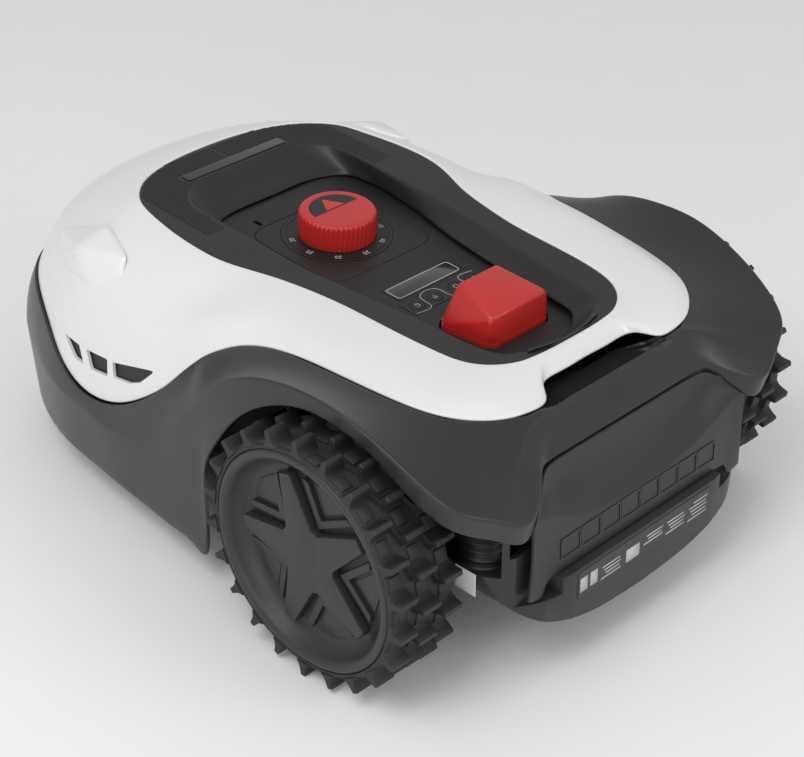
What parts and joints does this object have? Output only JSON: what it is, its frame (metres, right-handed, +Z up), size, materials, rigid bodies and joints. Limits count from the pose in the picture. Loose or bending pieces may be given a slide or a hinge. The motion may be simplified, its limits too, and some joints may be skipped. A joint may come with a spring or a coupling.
{
  "type": "robotic lawn mower",
  "caption": "Robotic lawn mower: two-tone floating shell, sunk control panel with height knob and stop button, lugged drive wheels, front casters and a free-blade cutter.",
  "frame": {"origin": "on the ground under the middle of the mower's overall box", "axes": "+X towards the nose, +Y towards the mower's left, +Z up"},
  "size_m": [0.5915, 0.44, 0.232],
  "materials": {
    "shell_dark": "satin moulded plastic, fine texture",
    "cover_white": "glossy moulded plastic",
    "deck_dark": "matte moulded plastic with fine cross ribs",
    "badge_grey": "smooth blank strip",
    "black_trim": "black moulded plastic",
    "contact_brass": "bare brass",
    "inner_plastic": "plain moulded plastic",
    "black_rubber": "moulded rubber bellows",
    "chassis_dark": "matte moulded plastic",
    "panel_dark": "matte moulded plastic",
    "display_gloss": "gloss black window",
    "key_dark": "soft touch key",
    "signal_red": "red moulded plastic, fine grain",
    "steel": "zinc plated steel",
    "disc_steel": "pressed steel disc",
    "blade_steel": "ground steel blade",
    "motor_alloy": "cast and turned alloy",
    "board_green": "solder mask",
    "cell_wrap": "wrapped cells",
    "label_grey": "blank printed bars",
    "label_white": "blank sticker",
    "tyre_rubber": "matte tread rubber",
    "rim_grey": "matte moulded plastic",
    "caster_black": "hard moulded plastic"
  },
  "bodies": {
    "chassis": {"chassis_tub": "chassis_dark", "chassis_lid": "inner_plastic", "control_panel": "panel_dark", "scale_ring": "panel_dark", "display_window": "display_gloss", "keypad_overlay": "panel_dark", "stop_spring": "steel", "stop_switch": "black_trim", "main_board": "board_green", "battery_pack": "cell_wrap", "battery_door": "chassis_dark", "door_screws": "steel", "rating_label": "label_grey", "side_label": "label_white", "gearmotor_left": "motor_alloy", "gearmotor_right": "motor_alloy", "float_bellows": "black_rubber"},
    "float_stems": {"float_stems": "inner_plastic"},
    "shell": {"outer_shell": "shell_dark", "top_cover": "cover_white", "deck_frame": "deck_dark", "badge_strip": "badge_grey", "sensor_cover_left": "cover_white", "sensor_cover_right": "cover_white", "vent_inserts": "black_trim", "rear_fascia": "shell_dark", "charge_contacts": "contact_brass"},
    "knob": {"height_knob": "signal_red", "knob_pointer": "black_trim", "knob_spindle": "steel"},
    "cutter": {"motor_carrier": "inner_plastic", "cutting_motor": "motor_alloy"},
    "blade_rotor": {"blade_disc": "disc_steel", "blade_screws": "steel"},
    "blade_1": {"blade_1": "blade_steel"},
    "blade_2": {"blade_2": "blade_steel"},
    "blade_3": {"blade_3": "blade_steel"},
    "skid": {"skid_disc": "black_trim"},
    "stop": {"stop_button": "signal_red"},
    "key_power": {"key_power": "key_dark"},
    "key_start": {"key_start": "key_dark"},
    "key_home": {"key_home": "key_dark"},
    "key_ok": {"key_ok": "key_dark"},
    "wheel_left": {"tyre_left": "tyre_rubber", "rim_left": "rim_grey", "hub_star_left": "rim_grey", "drive_shaft_left": "steel"},
    "wheel_right": {"tyre_right": "tyre_rubber", "rim_right": "rim_grey", "hub_star_right": "rim_grey", "drive_shaft_right": "steel"},
    "caster_left": {"caster_fork_left": "chassis_dark", "caster_axle_left": "steel"},
    "caster_right": {"caster_fork_right": "chassis_dark", "caster_axle_right": "steel"},
    "caster_wheel_left": {"caster_wheel_left": "caster_black"},
    "caster_wheel_right": {"caster_wheel_right": "caster_black"}
  },
  "joints": [
    {"name": "bump_slide", "type": "slide", "parent": "chassis", "child": "float_stems", "axis": [1, 0, 0], "range_m": [-0.003, 0.003], "stiffness_N_per_m": 3000, "deforming": ["float_bellows"]},
    {"name": "lift_slide", "type": "slide", "parent": "float_stems", "child": "shell", "axis": [0, 0, 1], "range_m": [0, 0.006]},
    {"name": "knob_turn", "type": "hinge", "parent": "chassis", "child": "knob", "pos_m": [0.02521, 0, 0.20644], "axis": [-0.055, 0, 0.9985], "range_deg": [-135, 135]},
    {"name": "cut_lift", "type": "slide", "parent": "chassis", "child": "cutter", "axis": [0, 0, 1], "range_m": [-0.02, 0.02]},
    {"name": "blade_spin", "type": "hinge", "parent": "cutter", "child": "blade_rotor", "pos_m": [0.0255, 0, 0.04], "axis": [0, 0, 1], "continuous": true},
    {"name": "blade_1_swing", "type": "hinge", "parent": "blade_rotor", "child": "blade_1", "pos_m": [0.0975, 0, 0.04], "axis": [0, 0, 1], "continuous": true},
    {"name": "blade_2_swing", "type": "hinge", "parent": "blade_rotor", "child": "blade_2", "pos_m": [-0.0105, 0.06235, 0.04], "axis": [0, 0, 1], "continuous": true},
    {"name": "blade_3_swing", "type": "hinge", "parent": "blade_rotor", "child": "blade_3", "pos_m": [-0.0105, -0.06235, 0.04], "axis": [0, 0, 1], "continuous": true},
    {"name": "skid_spin", "type": "hinge", "parent": "blade_rotor", "child": "skid", "pos_m": [0.0255, 0, 0.031], "axis": [0, 0, 1], "continuous": true},
    {"name": "stop_press", "type": "slide", "parent": "chassis", "child": "stop", "axis": [0, 0, -1], "range_m": [0, 0.005], "stiffness_N_per_m": 1500, "springref_m": -0.002, "deforming": ["stop_spring"]},
    {"name": "key_power_press", "type": "slide", "parent": "chassis", "child": "key_power", "axis": [0.055, 0, -0.9985], "range_m": [0, 0.0005], "stiffness_N_per_m": 900, "springref_m": -0.0005},
    {"name": "key_start_press", "type": "slide", "parent": "chassis", "child": "key_start", "axis": [0.055, 0, -0.9985], "range_m": [0, 0.0005], "stiffness_N_per_m": 900, "springref_m": -0.0005},
    {"name": "key_home_press", "type": "slide", "parent": "chassis", "child": "key_home", "axis": [0.055, 0, -0.9985], "range_m": [0, 0.0005], "stiffness_N_per_m": 900, "springref_m": -0.0005},
    {"name": "key_ok_press", "type": "slide", "parent": "chassis", "child": "key_ok", "axis": [0.055, 0, -0.9985], "range_m": [0, 0.0005], "stiffness_N_per_m": 900, "springref_m": -0.0005},
    {"name": "wheel_left_spin", "type": "hinge", "parent": "chassis", "child": "wheel_left", "pos_m": [-0.1645, 0, 0.101], "axis": [0, 1, 0], "continuous": true},
    {"name": "caster_left_swivel", "type": "hinge", "parent": "chassis", "child": "caster_left", "pos_m": [0.1975, 0.095, 0.064], "axis": [0, 0, 1], "continuous": true},
    {"name": "caster_left_roll", "type": "hinge", "parent": "caster_left", "child": "caster_wheel_left", "pos_m": [0.1855, 0.095, 0.03], "axis": [0, 1, 0], "continuous": true},
    {"name": "wheel_right_spin", "type": "hinge", "parent": "chassis", "child": "wheel_right", "pos_m": [-0.1645, 0, 0.101], "axis": [0, 1, 0], "continuous": true},
    {"name": "caster_right_swivel", "type": "hinge", "parent": "chassis", "child": "caster_right", "pos_m": [0.1975, -0.095, 0.064], "axis": [0, 0, 1], "continuous": true},
    {"name": "caster_right_roll", "type": "hinge", "parent": "caster_right", "child": "caster_wheel_right", "pos_m": [0.1855, -0.095, 0.03], "axis": [0, 1, 0], "continuous": true}
  ],
  "couplings": [
    {"joint": "knob_turn", "follows": "cut_lift", "rad_per_m": 117.81}
  ]
}
